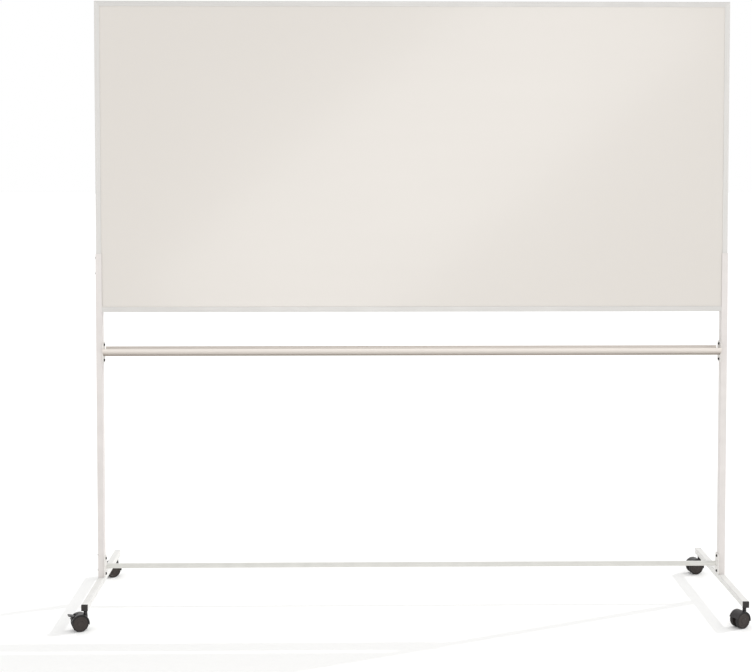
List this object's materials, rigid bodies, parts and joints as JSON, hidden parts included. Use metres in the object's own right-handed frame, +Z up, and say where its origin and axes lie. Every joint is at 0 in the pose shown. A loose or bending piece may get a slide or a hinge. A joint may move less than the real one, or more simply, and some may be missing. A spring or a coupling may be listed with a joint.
{
  "type": "rolling whiteboard",
  "caption": "Rolling whiteboard with a wide fixed board, two posts on short feet, a pen tray, a low crossbar and swivelling twin-wheel casters.",
  "frame": {"origin": "on the floor, in the middle between the two posts", "axes": "+X along the board, to the right seen from its front; +Y from the front face to the back; +Z up"},
  "size_m": [2.0976, 0.6268, 1.948],
  "materials": {
    "enamelled_steel": "gloss",
    "honeycomb_board": "matte",
    "frame_aluminium": "satin",
    "painted_steel": "satin",
    "tray_aluminium": "satin",
    "plain_steel": "satin",
    "screw_steel": "satin",
    "stem_steel": "satin",
    "plug_plastic": "satin",
    "caster_plastic": "satin",
    "lever_plastic": "satin",
    "wheel_plastic": "satin",
    "tread_rubber": "matte"
  },
  "bodies": {
    "stand": {"board_core": "honeycomb_board", "writing_sheet_front": "enamelled_steel", "writing_sheet_back": "enamelled_steel", "frame_top": "frame_aluminium", "frame_bottom": "frame_aluminium", "frame_left": "frame_aluminium", "frame_right": "frame_aluminium", "frame_corner_keys": "plain_steel", "board_nut_bars": "plain_steel", "board_screws": "screw_steel", "post_left": "painted_steel", "post_right": "painted_steel", "spigot_left": "plain_steel", "spigot_right": "plain_steel", "foot_left": "painted_steel", "foot_right": "painted_steel", "foot_end_plugs": "plug_plastic", "caster_inserts": "plain_steel", "spigot_screws": "screw_steel", "crossbar": "painted_steel", "crossbar_plate_left": "painted_steel", "crossbar_plate_right": "painted_steel", "crossbar_screws": "screw_steel", "pen_tray": "tray_aluminium", "tray_plate_left": "painted_steel", "tray_plate_right": "painted_steel", "tray_end_screws": "plain_steel", "tray_screws": "screw_steel", "tray_nut_bars": "plain_steel", "caster_stems": "stem_steel"},
    "caster_front_left": {"caster_front_left_housing": "caster_plastic", "caster_front_left_axle": "plain_steel", "caster_front_left_brake_pin": "plain_steel"},
    "wheel_front_left_a": {"caster_front_left_wheel_a": "wheel_plastic", "caster_front_left_tread_a": "tread_rubber"},
    "wheel_front_left_b": {"caster_front_left_wheel_b": "wheel_plastic", "caster_front_left_tread_b": "tread_rubber"},
    "lever_front_left": {"caster_front_left_brake_lever": "lever_plastic"},
    "caster_front_right": {"caster_front_right_housing": "caster_plastic", "caster_front_right_axle": "plain_steel"},
    "wheel_front_right_a": {"caster_front_right_wheel_a": "wheel_plastic", "caster_front_right_tread_a": "tread_rubber"},
    "wheel_front_right_b": {"caster_front_right_wheel_b": "wheel_plastic", "caster_front_right_tread_b": "tread_rubber"},
    "caster_rear_left": {"caster_rear_left_housing": "caster_plastic", "caster_rear_left_axle": "plain_steel"},
    "wheel_rear_left_a": {"caster_rear_left_wheel_a": "wheel_plastic", "caster_rear_left_tread_a": "tread_rubber"},
    "wheel_rear_left_b": {"caster_rear_left_wheel_b": "wheel_plastic", "caster_rear_left_tread_b": "tread_rubber"},
    "caster_rear_right": {"caster_rear_right_housing": "caster_plastic", "caster_rear_right_axle": "plain_steel"},
    "wheel_rear_right_a": {"caster_rear_right_wheel_a": "wheel_plastic", "caster_rear_right_tread_a": "tread_rubber"},
    "wheel_rear_right_b": {"caster_rear_right_wheel_b": "wheel_plastic", "caster_rear_right_tread_b": "tread_rubber"}
  },
  "joints": [
    {"name": "swivel_front_left", "type": "hinge", "parent": "stand", "child": "caster_front_left", "pos_m": [-1.01375, -0.285, 0.0562], "axis": [0, 0, 1], "continuous": true},
    {"name": "spin_front_left_a", "type": "hinge", "parent": "caster_front_left", "child": "wheel_front_left_a", "pos_m": [-1.02656, -0.30243, 0.025], "axis": [0.342, -0.9397, 0], "continuous": true},
    {"name": "spin_front_left_b", "type": "hinge", "parent": "caster_front_left", "child": "wheel_front_left_b", "pos_m": [-1.03477, -0.27988, 0.025], "axis": [0.342, -0.9397, 0], "continuous": true},
    {"name": "brake_front_left", "type": "hinge", "parent": "caster_front_left", "child": "lever_front_left", "pos_m": [-1.03991, -0.29452, 0.04367], "axis": [0.342, -0.9397, 0], "range_deg": [0, 16]},
    {"name": "swivel_front_right", "type": "hinge", "parent": "stand", "child": "caster_front_right", "pos_m": [1.01375, -0.285, 0.0562], "axis": [0, 0, 1], "continuous": true},
    {"name": "spin_front_right_a", "type": "hinge", "parent": "caster_front_right", "child": "wheel_front_right_a", "pos_m": [1.00349, -0.30405, 0.025], "axis": [0.4695, -0.8829, 0], "continuous": true},
    {"name": "spin_front_right_b", "type": "hinge", "parent": "caster_front_right", "child": "wheel_front_right_b", "pos_m": [0.99222, -0.28286, 0.025], "axis": [0.4695, -0.8829, 0], "continuous": true},
    {"name": "swivel_rear_left", "type": "hinge", "parent": "stand", "child": "caster_rear_left", "pos_m": [-1.01375, 0.285, 0.0562], "axis": [0, 0, 1], "continuous": true},
    {"name": "spin_rear_left_a", "type": "hinge", "parent": "caster_rear_left", "child": "wheel_rear_left_a", "pos_m": [-1.02161, 0.26485, 0.025], "axis": [0.5736, -0.8192, 0], "continuous": true},
    {"name": "spin_rear_left_b", "type": "hinge", "parent": "caster_rear_left", "child": "wheel_rear_left_b", "pos_m": [-1.03538, 0.28451, 0.025], "axis": [0.5736, -0.8192, 0], "continuous": true},
    {"name": "swivel_rear_right", "type": "hinge", "parent": "stand", "child": "caster_rear_right", "pos_m": [1.01375, 0.285, 0.0562], "axis": [0, 0, 1], "continuous": true},
    {"name": "spin_rear_right_a", "type": "hinge", "parent": "caster_rear_right", "child": "wheel_rear_right_a", "pos_m": [0.99837, 0.26979, 0.025], "axis": [0.1908, -0.9816, 0], "continuous": true},
    {"name": "spin_rear_right_b", "type": "hinge", "parent": "caster_rear_right", "child": "wheel_rear_right_b", "pos_m": [0.99379, 0.29335, 0.025], "axis": [0.1908, -0.9816, 0], "continuous": true}
  ]
}
